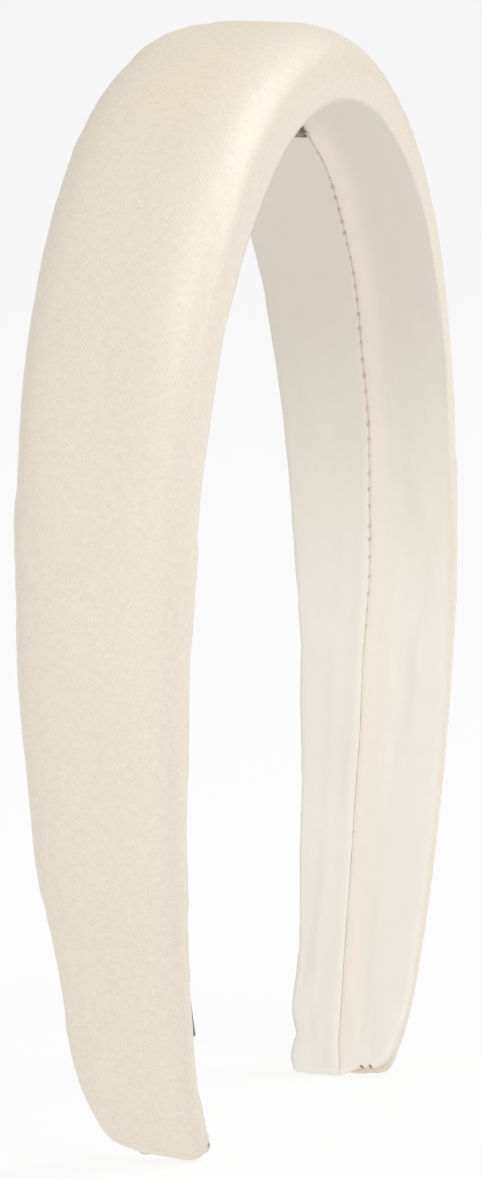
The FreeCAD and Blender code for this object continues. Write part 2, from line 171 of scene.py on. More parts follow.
def seam_y(distance):
    """The inner seam drifts across the band and wobbles a little, as a hand-sewn seam does."""
    reach = np.abs(distance)
    bend = 1.7 * MM * smooth_step(reach, HALF_LENGTH - 30 * MM, HALF_LENGTH - 2 * MM)
    hook = 1.2 * MM * smooth_step(reach, HALF_LENGTH - 7 * MM, HALF_LENGTH)
    wobble = 0.22 * MM * np.sin(distance / (9.5 * MM) + 0.6) * smooth_step(reach, 50 * MM, 110 * MM)
    wobble = wobble + 0.1 * MM * np.sin(distance / (3.7 * MM))
    return tapered(distance, SEAM_CROWN_Y, SEAM_TIP_Y, 1.0) + wobble - bend - hook


def section(distance, samples=900):
    """Outline of the band's section at each distance: y and depth, starting on the inner face."""
    turn = np.linspace(-np.pi / 2, 3 * np.pi / 2, samples)
    cosine, sine = np.cos(turn), np.sin(turn)
    outside = sine >= 0
    power = np.where(outside, BULGE_POWER, INSIDE_POWER)
    reach = (np.abs(cosine) ** power + np.abs(sine) ** power) ** (-1 / power)
    wide = half_width(distance)[:, None]
    thick = thickness(distance)[:, None]
    edge = EDGE_SHARE * thick
    y = wide * reach * cosine
    depth = edge + np.where(outside, thick - edge, edge) * reach * sine
    return y, depth


# ---------------------------------------------------------------- noise

def soft_noise(along, across, size, seed):
    """Smooth random relief, about -1 to 1, as a sum of waves of about one size."""
    waves = np.random.default_rng(SEED + seed)
    total = np.zeros(np.broadcast(along, across).shape)
    count = 14
    for _ in range(count):
        heading = waves.uniform(0, 2 * math.pi)
        length = size * waves.uniform(0.7, 1.5)
        phase = waves.uniform(0, 2 * math.pi)
        total = total + np.sin(2 * math.pi / length
                               * (along * math.cos(heading) + across * math.sin(heading)) + phase)
    return total / math.sqrt(count)


# ---------------------------------------------------------------- meshes

def new_mesh(name, points, faces, smooth=True):
    mesh = bpy.data.meshes.new(name)
    mesh.from_pydata([tuple(point) for point in points], [], [tuple(face) for face in faces])
    mesh.validate()
    mesh.update()
    piece = bpy.data.objects.new(name, mesh)
    bpy.context.scene.collection.objects.link(piece)
    if smooth:
        mesh.shade_smooth()
    return piece


def grid_faces(rows, columns, start=0, closed=False, flip=False):
    """Quads over a grid of points stored row by row."""
    across = columns if closed else columns - 1
    row, column = np.meshgrid(np.arange(rows - 1), np.arange(across), indexing="ij")
    beside = (column + 1) % columns
    corners = np.stack([row * columns + column, (row + 1) * columns + column,
                        (row + 1) * columns + beside, row * columns + beside], -1).reshape(-1, 4)
    if flip:
        corners = corners[:, ::-1]
    return corners + start


def grid_normals(points):
    along = np.gradient(points, axis=0)
    across = np.gradient(points, axis=1)
    normal = np.cross(across, along)
    return normal / np.maximum(np.linalg.norm(normal, axis=-1, keepdims=True), 1e-12)


def rim(rows, columns):
    """Indices of a grid's border, in order."""
    top = list(range(columns))
    right = [row * columns + columns - 1 for row in range(1, rows)]
    bottom = [(rows - 1) * columns + column for column in range(columns - 2, -1, -1)]
    left = [row * columns for row in range(rows - 2, 0, -1)]
    return top + right + bottom + left


def shell(name, outer, inner):
    """A closed thin shell between two grids of points."""
    rows, columns = outer.shape[:2]
    count = rows * columns
    faces = [grid_faces(rows, columns), grid_faces(rows, columns, start=count, flip=True)]
    border = np.array(rim(rows, columns))
    following = np.roll(border, -1)
    faces.append(np.stack([border, following, following + count, border + count], -1))
    points = np.concatenate([outer.reshape(-1, 3), inner.reshape(-1, 3)])
    return new_mesh(name, points, np.concatenate(faces))


def tube(path, radius, sides=8):
    """Points and faces of a closed round tube along a path."""
    path = np.asarray(path)
    along = np.gradient(path, axis=0)
    along /= np.linalg.norm(along, axis=1, keepdims=True)
    guide = np.array([0.0, 0.0, 1.0]) if abs(along[0][2]) < 0.9 else np.array([1.0, 0.0, 0.0])
    first = np.cross(along, guide)
    first /= np.linalg.norm(first, axis=1, keepdims=True)
    second = np.cross(along, first)
    turn = np.linspace(0, 2 * np.pi, sides, endpoint=False)
    swell = np.ones(len(path))
    swell[0] = swell[-1] = 0.55
    ring = first[:, None] * np.cos(turn)[None, :, None] + second[:, None] * np.sin(turn)[None, :, None]
    points = path[:, None] + ring * radius * swell[:, None, None]
    faces = grid_faces(len(path), sides, closed=True).tolist()
    faces.append(list(range(sides)))
    faces.append([(len(path) - 1) * sides + side for side in range(sides - 1, -1, -1)])
    return points.reshape(-1, 3), faces


def joined_tubes(name, paths, radius):
    points, faces = [], []
    for path in paths:
        more, more_faces = tube(path, radius)
        start = sum(len(item) for item in points)
        points.append(more)
        faces.extend([[index + start for index in face] for face in more_faces])
    return new_mesh(name, np.concatenate(points), faces)


def add_uv(piece, uv):
    """Give each face corner the UV of its point."""
    layer = piece.data.uv_layers.new(name="cloth")
    corner_points = np.empty(len(piece.data.loops), dtype=np.int32)
    piece.data.loops.foreach_get("vertex_index", corner_points)
    layer.data.foreach_set("uv", uv[corner_points].astype(np.float32).ravel())


def add_values(piece, name, values):
    attribute = piece.data.attributes.new(name=name, type="FLOAT", domain="POINT")
    attribute.data.foreach_set("value", values.astype(np.float32))


# ---------------------------------------------------------------- the satin wrap

PATCH_LOW = HALF_LENGTH - 29.2 * MM
PATCH_HIGH = HALF_LENGTH - 20.4 * MM
PATCH_BACK = 1.2 * MM
PATCH_WIDTH = 7.85 * MM
PATCH_MARGIN = 1.5 * MM

# pulled creases inside: centre and place across, reach, heading, and wave length (mm, radians)
CREASES = ((46, 7.5, 12, 0.9, 7.0), (66, 7.0, 16, 0.75, 8.5), (96, 6.5, 20, 0.7, 10.0),
           (-52, 7.0, 14, -0.8, 8.0), (-88, 6.0, 22, 0.6, 9.5), (58, -8.0, 14, -0.9, 9.0),
           (128, -5.5, 18, 0.8, 8.0), (-120, -6.0, 18, -0.7, 8.5), (4, -7.0, 15, 0.9, 8.0))


def row_distances():
    half = np.linspace(0, 1, ROWS_PER_SIDE + 1) ** 0.96 * (HALF_LENGTH - CAP_DEPTH)
    return np.concatenate([-half[:0:-1], half])


def sleeve(distance, columns, lip_columns):
    """The plain sleeve round the band: y, depth and distance round from the seam, row by row."""
    y, depth = section(distance)
    step = np.hypot(np.diff(y, axis=1), np.diff(depth, axis=1))
    round_it = np.concatenate([np.zeros((len(y), 1)), np.cumsum(step, axis=1)], axis=1)
    perimeter = round_it[:, -1]
    seam = seam_y(distance)
    lip = SEAM_LIP * 3
    lips = lip * np.linspace(0, 1, lip_columns + 1) ** 1.5
    middle = np.linspace(0, 1, columns - 2 * lip_columns)
    places_y, places_depth, places_round = [], [], []
    for row in range(len(distance)):
        total = perimeter[row]
        lengths = np.concatenate([lips[:-1], lip + (total - 2 * lip) * middle, total - lips[-2::-1]])
        places = (lengths + seam[row]) % total
        places_y.append(np.interp(places, round_it[row], y[row]))
        places_depth.append(np.interp(places, round_it[row], depth[row]))
        places_round.append(lengths)
    return np.array(places_y), np.array(places_depth), np.array(places_round)


def cloth_relief(distance, columns):
    """How satin under the foam's pressure moves off the plain sleeve: a cloth simulation.

    Returns its movement outwards on a coarse grid. The seam and the tips are held.
    """
    scale = 10.0
    most = 0.16 * MM
    y, depth, round_it = sleeve(distance, columns, 1)
    y, depth = y[:, :-1], depth[:, :-1]
    centre = thickness(distance)[:, None] / 2
    slim = 0.97
    points = on_band(distance[:, None], y * slim, centre + (depth - centre) * slim)
    rows, columns = y.shape
    faces = grid_faces(rows, columns, closed=True).tolist()
    faces.append(list(range(columns)))
    faces.append([(rows - 1) * columns + column for column in range(columns - 1, -1, -1)])
    piece = new_mesh("relief_cloth", points.reshape(-1, 3) * scale, faces)
    held = piece.vertex_groups.new(name="held")
    seam_points = [row * columns for row in range(rows)]
    tip_points = list(range(2 * columns)) + list(range((rows - 2) * columns, rows * columns))
    held.add(seam_points, 1.0, "REPLACE")
    held.add(tip_points, 1.0, "REPLACE")
    cloth = piece.modifiers.new("cloth", "CLOTH")
    settings = cloth.settings
    settings.quality = 5
    settings.mass = 0.2
    settings.tension_stiffness = settings.compression_stiffness = 12
    settings.shear_stiffness = 4
    settings.bending_stiffness = 0.15
    settings.use_pressure = True
    settings.uniform_pressure_force = 4
    settings.shrink_min = -0.035
    settings.vertex_group_mass = "held"
    settings.effector_weights.gravity = 0
    cloth.collision_settings.use_collision = False
    cloth.collision_settings.use_self_collision = False
    scene = bpy.context.scene
    scene.frame_start, scene.frame_end = 1, CLOTH_FRAMES
    cloth.point_cache.frame_start, cloth.point_cache.frame_end = 1, CLOTH_FRAMES
    for number in range(1, CLOTH_FRAMES + 1):
        scene.frame_set(number)
    evaluated = piece.evaluated_get(bpy.context.evaluated_depsgraph_get())
    moved = np.empty(len(evaluated.data.vertices) * 3, dtype=np.float32)
    evaluated.data.vertices.foreach_get("co", moved)
    scene.frame_set(1)
    moved = moved.reshape(rows, columns, 3) / scale
    bpy.data.objects.remove(piece)
    normal = grid_normals(points)
    outwards = np.sum((moved - points) * normal, axis=-1)
    outwards = outwards - np.median(outwards, axis=0, keepdims=True)
    return most * np.tanh(outwards / (3 * most))


def spread(values, rows, columns):
    """A coarse grid of values on a finer one, smoothly."""
    def ease(grid, count):
        place = np.linspace(0, grid.shape[0] - 1, count)
        low = np.clip(np.floor(place).astype(int), 0, grid.shape[0] - 2)
        share = (place - low)[:, None]
        before = grid[np.clip(low - 1, 0, None)]
        first, second = grid[low], grid[low + 1]
        after = grid[np.clip(low + 2, None, grid.shape[0] - 1)]
        cubic = 3 * (first - second) + after - before
        square = 2 * before - 5 * first + 4 * second - after
        return first + 0.5 * share * (second - before + share * (square + share * cubic))
    return ease(ease(values, rows).T, columns).T


def bump(value, centre, width):
    return np.exp(-((value - centre) / width) ** 2)


def pull_lines(distance, across, centre, place, reach, heading, length, count):
    """A few fine parallel creases, fading away from their centre."""
    fade = bump(distance, centre, reach) * bump(across, place, 4.5 * MM)
    run = (distance - centre) * math.cos(heading) + (across - place) * math.sin(heading)
    return fade * np.sin(2 * math.pi * run / length + 0.8 * np.sin(run / (0.4 * length) + count))


def under_patch(distance, y):
    """How far the satin lies pressed flat under the tip's label, 0 to 1."""
    along = smooth_step(-distance, PATCH_LOW - PATCH_MARGIN, PATCH_LOW)
    along = along * smooth_step(distance, -PATCH_HIGH - PATCH_MARGIN, -PATCH_HIGH)
    return along * smooth_step(-y, PATCH_BACK - PATCH_MARGIN, PATCH_BACK)


def relief(distance, y, depth, round_it, settled):
    """Everything that lifts the satin off the plain sleeve, outwards positive."""
    along = distance[:, None]
    reach = np.abs(along)
    share = along / HALF_LENGTH
    from_seam = np.minimum(round_it, round_it[:, -1:] - round_it)
    thick = thickness(along)
    inside = 1 - smooth_step(depth, 0.08 * thick, 0.3 * thick)
    height = settled
    height = height + 0.07 * MM * soft_noise(along, y + depth, 26 * MM, 1) * (1 - inside)
    height = height + 0.06 * MM * soft_noise(along, y, 13 * MM, 2) * inside
    height = height + 0.025 * MM * soft_noise(along, round_it, 4.5 * MM, 3)

    # the hem under the seam's two sides, one lapping the other, and the stitches' puckers
    hem = smooth_step(HEM_WIDTH - from_seam, 0, 1.4 * MM) * HEM_RISE
    hem = hem * (1 + 0.5 * soft_noise(along, y * 0, 9 * MM, 4))
    height = height + hem * inside
    height = height + 0.16 * MM * bump(round_it, 1.3 * MM, 1.3 * MM)
    pucker = np.cos(2 * math.pi * along / STITCH_PITCH + 0.6 * np.sin(along / (6 * MM)))
    fading = np.exp(-from_seam / (1.5 * MM)) * (0.4 + 0.6 * (np.abs(share) < 0.75))
    height = height - 0.07 * MM * pucker * fading

    # creases: pulled ones inside, then those gathered at the tips
    for number, (centre, place, length, heading, wave) in enumerate(CREASES):
        lines = pull_lines(along, y, centre * MM, place * MM, length * MM, heading, wave * MM, number)
        height = height + 0.085 * MM * lines * inside
    pull = np.sin((reach + 0.6 * y) / (1.6 * MM)) * bump(reach, HALF_LENGTH - 8 * MM, 5 * MM)
    height = height + 0.12 * MM * pull * smooth_step(-y, 2 * MM, 7 * MM)
    fan = np.sin(y / (1.15 * MM) + 1.4 * np.sign(share)) * bump(reach, HALF_LENGTH, 7 * MM)
    height = height + 0.13 * MM * fan * smooth_step(np.abs(share), 0.93, 1.0)
    return height * (1 - 0.85 * inside * under_patch(along, y))


def seam_profile(from_seam):
    """How deep the cloth turns in at the seam, by distance from it."""
    return SEAM_DEPTH * np.clip(1 - from_seam / SEAM_LIP, 0, 1) ** 1.8


def tip_length(distance, y, depth):
    """Where the cloth ends at a tip: level with the floor, corners rounded, slightly askew."""
    wide = TIP_HALF_WIDTH
    share = np.where(distance < 0, np.where(y < 0, 1.2, 1.0), np.where(y < 0, 0.85, 0.55))
    size = TIP_CORNER_ROUND * share
    beyond = np.clip((np.abs(y) - (wide - size)) / size, 0, 1)
    corner = size * (1 - np.sqrt(1 - 0.985 * beyond ** 2))
    level = depth * -math.cos(LEG_END_ANGLE) / math.sin(LEG_END_ANGLE)
    slant = np.clip(0.2 * (y + 5.9 * MM), 0, None)
    bow = 0.4 * MM * (y / wide) ** 2
    lift = np.where(distance < 0, slant, bow)
    reach = np.where(distance < 0, 0.3, 0.35) * MM
    outer = smooth_step(depth, 0.05 * TIP_THICKNESS, 0.6 * TIP_THICKNESS)
    fold = closing_climb(distance, y) * (1 - outer)
    return HALF_LENGTH + reach - level - corner - lift - fold


def closing_climb(distance, y):
    """How far a tip's closing seam climbs the inner side towards the front edge."""
    return np.where(distance < 0, 0.5, 1.35) * MM * smooth_step(-y, -0.3 * MM, 4.6 * MM)


def closing_depth(y):
    """Depth of a tip's closing seam: midway at the back, on the inner side at the front."""
    return TIP_THICKNESS * (0.48 - 0.44 * smooth_step(-y, -1.0 * MM, 3.5 * MM))


def drawn_in(distance, fades, swells):
    """How far an edge is drawn in near the tips, from a table of fades and one of swells."""
    from_tip = HALF_LENGTH - np.abs(distance)
    total = np.zeros_like(from_tip)
    for here, tip_fades, tip_swells in zip((distance < 0, distance > 0), fades, swells):
        for amount, full, gone in tip_fades:
            fade = 1 - smooth_step(from_tip, full * MM, gone * MM)
            total = total + here * amount * MM * fade
        for amount, centre, reach in tip_swells:
            total = total + here * amount * MM * bump(from_tip, centre * MM, reach * MM)
    return total


def uneven(distance, y, depth):
    """The hand-made band's own unevenness: y and depth of points, moved off the even form."""
    from_tip = HALF_LENGTH - np.abs(distance)
    back = np.clip(y / half_width(distance), 0, 1)
    front = np.clip(-y / half_width(distance), 0, 1)
    turned = np.clip(1 - from_tip / LEFT_BACK_ROUND_START, 0, 0.97)
    rounding = np.where(distance < 0, LEFT_BACK_ROUND * (1 - np.sqrt(1 - turned ** 2)), 0)
    narrow = drawn_in(distance, BACK_FADES, BACK_SWELLS) + rounding
    shoulder = np.where(distance > 0, 0.85 * MM * bump(distance, 82 * MM, 38 * MM), 0)
    trim = drawn_in(distance, FRONT_FADES, FRONT_SWELLS) + shoulder
    outer = np.clip(depth / thickness(distance), 0, 1)
    fuller = 0.6 * MM * front * bump(distance, 10 * MM, 45 * MM)
    leaner = 0.85 * MM * back * bump(distance, -8 * MM, 32 * MM)
    return y - back * narrow + front * trim, depth + outer * (fuller - leaner)


def make_satin_wrap():
    """The cover: one piece of satin round the band, hemmed along the seam, closed at both tips."""
    distance = row_distances()
    y, depth, round_it = sleeve(distance, COLUMNS, LIP_COLUMNS)
    rows, columns = y.shape
    coarse = np.linspace(distance[0], distance[-1], 261)
    settled = spread(cloth_relief(coarse, 50), rows, columns)
    settled *= smooth_step(np.minimum(round_it, round_it[:, -1:] - round_it), 0, 3 * MM)
    height = relief(distance, y, depth, round_it, settled)

    # the tips: rows near the end follow the end's outline, then cap rows close it
    ends = tip_length(distance[:, None], y, depth)
    run = 20 * MM
    straight = HALF_LENGTH - CAP_DEPTH - run
    beyond = np.clip((np.abs(distance[:, None]) - straight) / run, 0, 1)
    drawn = straight + beyond * (ends - CAP_DEPTH - straight)
    reach = np.where(beyond > 0, drawn, np.abs(distance[:, None]))
    along = np.sign(distance[:, None]) * reach

    placed_y, placed_depth = uneven(along, y, depth)
    plain = on_band(along, placed_y, placed_depth)
    points = plain + grid_normals(plain) * height[..., None]
    from_seam = np.minimum(round_it, round_it[:, -1:] - round_it)
    sink = seam_profile(from_seam) * (1 - 0.4 * smooth_step(np.abs(distance[:, None]), 0.09, 0.13))
    _, _, angle = hoop(along)
    outwards = np.stack([np.sin(angle), 0 * angle, np.cos(angle)], -1)
    points = points + outwards * sink[..., None]

    caps = []
    for row, step in ((0, -1), (rows - 1, 1)):
        middle = closing_depth(y[row])
        cap = []
        for number in range(1, CAP_ROWS + 1):
            turn = number / CAP_ROWS * math.pi / 2
            close = math.cos(turn) ** 0.8 if number < CAP_ROWS else 0.0
            side = np.sign(depth[row] - middle)
            drawn = middle + (depth[row] - middle) * close + side * 0.1 * MM
            inward = 1 - 0.04 * (1 - close)
            pinch = CAP_PINCH * smooth_step(number / CAP_ROWS, 0.6, 1.0)
            pucker = 0.09 * MM * np.sin(y[row] / (0.62 * MM)) * (1 - close)
            end = tip_length(np.full_like(y[row], step), y[row], drawn)
            length = end - CAP_DEPTH + CAP_DEPTH * math.sin(turn) - pinch + pucker
            cap.append(on_band(step * length, *uneven(step * length, y[row] * inward, drawn)))
        caps.append(np.array(cap))
    points = np.concatenate([caps[0][::-1], points, caps[1]])
    points[..., 2] = np.maximum(points[..., 2], 0)

    # the hem: the long edges turn in at the seam
    every_row = np.pad(distance, CAP_ROWS, mode="edge")
    _, _, angle = hoop(every_row)
    inwards = np.stack([np.sin(angle), 0 * angle, np.cos(angle)], -1)
    reach = np.linspace(-HALF_LENGTH, HALF_LENGTH, len(points))
    hem_depth = HEM_DEPTH * (1 - 0.65 * smooth_step(np.abs(reach), 0.09, 0.13))
    hem_depth[:CAP_ROWS] = hem_depth[-CAP_ROWS:] = 0.15 * MM
    first, last = [], []
    for number in range(HEM_COLUMNS, 0, -1):
        share = number / HEM_COLUMNS
        into = inwards * (hem_depth * share)[:, None]
        aside = np.array([0.0, 1.0, 0.0]) * 0.03 * MM
        first.append(points[:, 0] + into + aside)
        last.insert(0, points[:, -1] + into - aside)
    outer = np.concatenate([np.stack(first, 1), points, np.stack(last, 1)], axis=1)

    outer[..., 2] = np.maximum(outer[..., 2], 0)
    normal = grid_normals(outer)
    thin = np.full(outer.shape[:2], CLOTH_THICKNESS)
    thin[:, :HEM_COLUMNS + 2] = thin[:, -HEM_COLUMNS - 2:] = 0.12 * MM
    reach_to_tip = HALF_LENGTH - np.abs(every_row)
    thinner = 1 - 0.7 * (1 - smooth_step(reach_to_tip, 9 * MM, 20 * MM))
    thin *= thinner[:, None]
    inner = outer - normal * thin[..., None]
    inner[..., 2] = np.maximum(inner[..., 2], 0.05 * MM)
    piece = shell("satin_wrap", outer, inner)

    lengthwise = every_row.copy()
    lengthwise[:CAP_ROWS] -= CAP_DEPTH * np.linspace(1, 0.1, CAP_ROWS)
    lengthwise[-CAP_ROWS:] += CAP_DEPTH * np.linspace(0.1, 1, CAP_ROWS)
    lengthwise = np.repeat(CLOTH_STRETCH * lengthwise[:, None], outer.shape[1], 1)
    steps = np.linalg.norm(np.diff(outer, axis=1), axis=-1)
    crosswise = np.concatenate([np.zeros((len(outer), 1)), np.cumsum(steps, axis=1)], axis=1)
    crosswise = crosswise - crosswise[:, -1:] / 2
    uv = np.stack([lengthwise, crosswise], -1).reshape(-1, 2)
    add_uv(piece, np.concatenate([uv, uv]))

    border = ((CAP_ROWS, CAP_ROWS), (HEM_COLUMNS, HEM_COLUMNS))
    wide_depth = np.pad(depth, border, mode="edge")
    thick = thickness(every_row)[:, None]
    facing_head = 1 - smooth_step(wide_depth, 0.02 * thick, 0.1 * thick)
    add_values(piece, "facing_head", np.tile(facing_head.ravel(), 2))
    from_edge = np.pad(from_seam, border, mode="edge")
    front = np.arange(outer.shape[1])[None, :] > outer.shape[1] / 2
    # painted shade with a tan tint: the last cap rows along each tip's closing seam, darkening the
    # tucked end
    closing = np.zeros(outer.shape[:2])
    for number, strength in enumerate((0.9, 0.35, 0.05)):
        closing[number] = closing[-1 - number] = strength
    closing = closing * smooth_step(-outer[..., 1], -1 * MM, 3 * MM)
    closing = closing * (1 - smooth_step(-outer[..., 1], 6 * MM, 7.5 * MM))
    add_values(piece, "closing", np.tile(closing.ravel(), 2))
    warm = np.where(front, bump(from_edge, 1.5 * MM, 2.1 * MM), 0.3 * bump(from_edge, 0, 0.5 * MM))
    add_values(piece, "seam_warmth", np.tile(warm.ravel(), 2))
    # painted light and shade by place on the band: the first is a warmer tone on the crown's top, kept
    # off its front roll; the second greys and darkens the lining under the crown
    for name, start, end in (("crown_top_painted_light", 22, 56), ("under_crown_painted_shade", 70, 130)):
        near = 1 - smooth_step(np.abs(lengthwise), start * MM, end * MM)
        if name == "crown_top_painted_light":
            near = near * smooth_step(outer[..., 1], -11 * MM, -3 * MM)
        add_values(piece, name, np.tile(near.ravel(), 2))
    return piece


# ---------------------------------------------------------------- filling

def closed_strip(name, low, high, crown_half, tip_half, groove=0.0, grain=0.04 * MM):
    """A strip that follows the hoop, with rounded sides and ends."""
    turned = np.linspace(-1, 1, 221)
    distance = (HALF_LENGTH - 3.4 * MM) * np.sign(turned) * (1 - (1 - np.abs(turned)) ** 1.35)
    half = tapered(distance, crown_half, tip_half, 1.0)
    to_end = np.clip((HALF_LENGTH - 3.2 * MM - np.abs(distance)) / (6 * MM), 0, 1)
    half = half * np.sqrt(1 - (1 - to_end) ** 2)
    turn = np.linspace(0, 2 * np.pi, 28, endpoint=False)
    reach = (np.abs(np.cos(turn)) ** 4 + np.abs(np.sin(turn)) ** 4) ** -0.25
    middle, rise = (low + high) / 2, (high - low) / 2
    y = half[:, None] * reach * np.cos(turn)
    depth = middle + rise * reach * np.sin(turn)
    depth = depth + grain * soft_noise(distance[:, None], y, 6 * MM, 21)
    depth = depth + groove * bump(y, seam_y(distance)[:, None], 0.9 * MM) * (np.sin(turn) < 0)
    points = on_band(distance[:, None], *uneven(distance[:, None], y, depth))
    faces = grid_faces(*y.shape, closed=True, flip=True).tolist()
    faces.append(list(range(y.shape[1] - 1, -1, -1)))
    last = (len(distance) - 1) * y.shape[1]
    faces.append([last + column for column in range(y.shape[1])])
    return new_mesh(name, points.reshape(-1, 3), faces)


def make_foam_filling():
    """The foam pad: the band's form a little inside the satin, with a channel for the hoop."""
    distance = np.linspace(-HALF_LENGTH + 6 * MM, HALF_LENGTH - 6 * MM, 241)
    thick = thickness(distance)[:, None]
    y, depth, _ = sleeve(distance, 72, 1)
    y, depth = y[:, :-1], depth[:, :-1]
    inset = 1.1 * MM
    wide = half_width(distance)[:, None]
    y = y * (wide - inset) / wide
    depth = thick / 2 + (depth - thick / 2) * (thick - 2 * inset) / thick
    channel = 3.9 * MM
    half = tapered(distance, 11.2 * MM, 6.0 * MM, 1.0)[:, None]
    under = smooth_step(half - np.abs(y), -0.4 * MM, 0.4 * MM) * (depth < thick / 2)
    depth = depth + under * np.clip(channel - depth, 0, None)
    depth = depth + 0.05 * MM * soft_noise(distance[:, None], y, 7 * MM, 22)
    points = on_band(distance[:, None], *uneven(distance[:, None], y, depth))
    faces = grid_faces(*y.shape, closed=True).tolist()
    faces.append(list(range(y.shape[1])))
    last = (len(distance) - 1) * y.shape[1]
    faces.append([last + column for column in range(y.shape[1] - 1, -1, -1)])
    return new_mesh("foam_filling", points.reshape(-1, 3), faces)


# ---------------------------------------------------------------- thread

def make_seam_stitches():
    """Ladder stitches across the inner seam, a little uneven, sinking in towards the tips."""
    hand = np.random.default_rng(SEED + 31)
    paths = []
    count = int((HALF_LENGTH - 6.5 * MM) / STITCH_PITCH)
    for number in range(-count, count + 1):
        distance = number * STITCH_PITCH + hand.uniform(-0.3, 0.3) * MM
        slant = hand.uniform(0.15, 0.6) * MM
        sunk = 0.02 * MM + 0.22 * MM * smooth_step(abs(distance) / HALF_LENGTH, 0.5, 0.85)
        across = np.linspace(-1, 1, 9)
        half_gap = 0.34 * MM
        depth = 0.62 * MM * np.abs(across) ** 3 - 0.06 * MM + sunk
        along = distance + slant * across
        y = seam_y(np.full(9, distance)) + half_gap * across
        paths.append(on_band(along, y, depth))
    return joined_tubes("seam_stitches", paths, THREAD_RADIUS)


# y of the closing stitches in mm, at the left tip (-1) and at the right (1)
TIP_STITCH_PLACES = {-1: (-4.4, -2.7, -1.0, 0.8), 1: (-5.8, -4.3, -0.2, 2.1)}


def make_tip_stitches(name, side):
    """Four closing stitches over the pinched seam at one tip."""
    hand = np.random.default_rng(SEED + 40 + side)
    paths = []
    for place in TIP_STITCH_PLACES[side]:
        y = place * MM + hand.uniform(-0.2, 0.2) * MM
        across = np.linspace(-1, 1, 11)
        upright = smooth_step(-y, -1.5 * MM, 3.5 * MM)
        middle = closing_depth(y)
        end = tip_length(np.full(11, side), np.full(11, y), np.full(11, middle))
        proud = 0.3 * MM - 0.26 * MM * np.abs(across) ** 2
        depth = middle + 0.6 * MM * across * (1 - upright) - proud * upright
        along = side * (end - 0.45 * MM + proud * (1 - upright) - 0.22 * MM * across * upright)
        lean = (hand.uniform(-0.3, 0.3) + 0.25 * upright) * MM
        path = on_band(along, *uneven(along, y + lean * across, depth))
        path[:, 2] = np.maximum(path[:, 2], 0.2 * MM)
        paths.append(path)
    return joined_tubes(name, paths, THREAD_RADIUS * 1.4)


# ---------------------------------------------------------------- labels

LABEL_CENTRE = 19 * MM
LABEL_LENGTH = 18 * MM
LABEL_WIDTH = 9 * MM
LABEL_DEPTH = -1.19 * MM
LABEL_HALF_GAP = 0.1 * MM


def make_crown_label():
    """A folded woven tape: two layers joined by the fold, dark at both ends and along the fold."""
    along_count = 25
    fold = 0.16 * MM
    rise, out = [], []
    flat = LABEL_WIDTH - 0.25 * MM - fold
    for share in np.linspace(0, 1, 12)[:-1]:
        out.append(flat * share)
        rise.append(-1.0)
    for angle in np.linspace(-math.pi / 2, math.pi / 2, 9):
        out.append(flat + fold * 1.4 * math.cos(angle))
        rise.append(math.sin(angle))
    for share in np.linspace(1, 0, 12)[1:]:
        out.append(flat * share)
        rise.append(1.0)
    out, rise = np.array(out), np.array(rise)
    along = np.linspace(-0.5, 0.5, along_count) * LABEL_LENGTH
    half = LABEL_HALF_GAP * rise
    sag = 0.12 * MM * np.sin(along[:, None] / (4.2 * MM)) * (out / LABEL_WIDTH)[None, :] ** 2
    x, z, angle = hoop(np.array([LABEL_CENTRE]))
    axis_x = np.array([math.cos(angle[0]), 0, -math.sin(angle[0])])
    axis_n = np.array([math.sin(angle[0]), 0, math.cos(angle[0])])
    seam = seam_y(np.array([LABEL_CENTRE]))[0] + 0.1 * MM
    origin = np.array([x[0], seam, z[0]]) + axis_n * LABEL_DEPTH
    grid = (origin + along[:, None, None] * axis_x + out[None, :, None] * np.array([0, 1, 0])
            + (half[None, :] + sag)[..., None] * axis_n)
    normal = grid_normals(grid)
    thick = 0.07 * MM
    piece = shell("woven_label", grid + normal * thick, grid - normal * thick)
    u = np.repeat((along / LABEL_LENGTH + 0.5)[:, None], len(out), 1)
    v = np.repeat((np.arange(len(out)) / (len(out) - 1))[None, :], along_count, 0)
    uv = np.stack([u * LABEL_LENGTH, v * 2 * LABEL_WIDTH], -1).reshape(-1, 2)
    add_uv(piece, np.concatenate([uv, uv]))
    dark_border = 1 - smooth_step(np.minimum(u, 1 - u) * LABEL_LENGTH, 0.7 * MM, 1.0 * MM)
    edge = np.maximum(dark_border, bump(out / LABEL_WIDTH, 1.0, 0.06)[None, :])
    add_values(piece, "dark_border", np.tile(edge.ravel(), 2))
    return piece


def make_tip_patch():
    """A small blank pressed label inside the left leg, its front edge lifting a little."""
    along = np.linspace(0, 1, 21)
    across = np.linspace(0, 1, 17)
    low, high = PATCH_LOW, PATCH_HIGH
    distance = -(low + (high - low) * along)[:, None]
    y = -(PATCH_BACK + PATCH_WIDTH * across)[None, :]
    rise = -0.22 * MM - 0.12 * MM * smooth_step(across, 0.72, 1.0)[None, :] + 0 * distance
    corner = 0.12
    reach_u = np.abs(2 * along - 1)[:, None]
    reach_v = np.abs(2 * across - 1)[None, :]
    near_corner = np.hypot(np.clip(reach_u - 0.8, 0, None), np.clip(reach_v - 0.8, 0, None))
    rounding = corner * np.clip(near_corner / 0.283, 0, 1) ** 3
    centre = -(low + high) / 2
    distance = centre + (distance - centre) * (1 - rounding)
    grid = on_band(distance, y, rise)
    normal = grid_normals(grid)
    thick = 0.09 * MM
    return shell("tip_patch", grid + normal * thick, grid - normal * thick)


# ---------------------------------------------------------------- materials

def colour(red, green, blue):
    """A colour given by its screen values, 0 to 255."""
    def linear(value):
        value = value / 255
        return value / 12.92 if value <= 0.04045 else ((value + 0.055) / 1.055) ** 2.4
    return (linear(red), linear(green), linear(blue), 1.0)


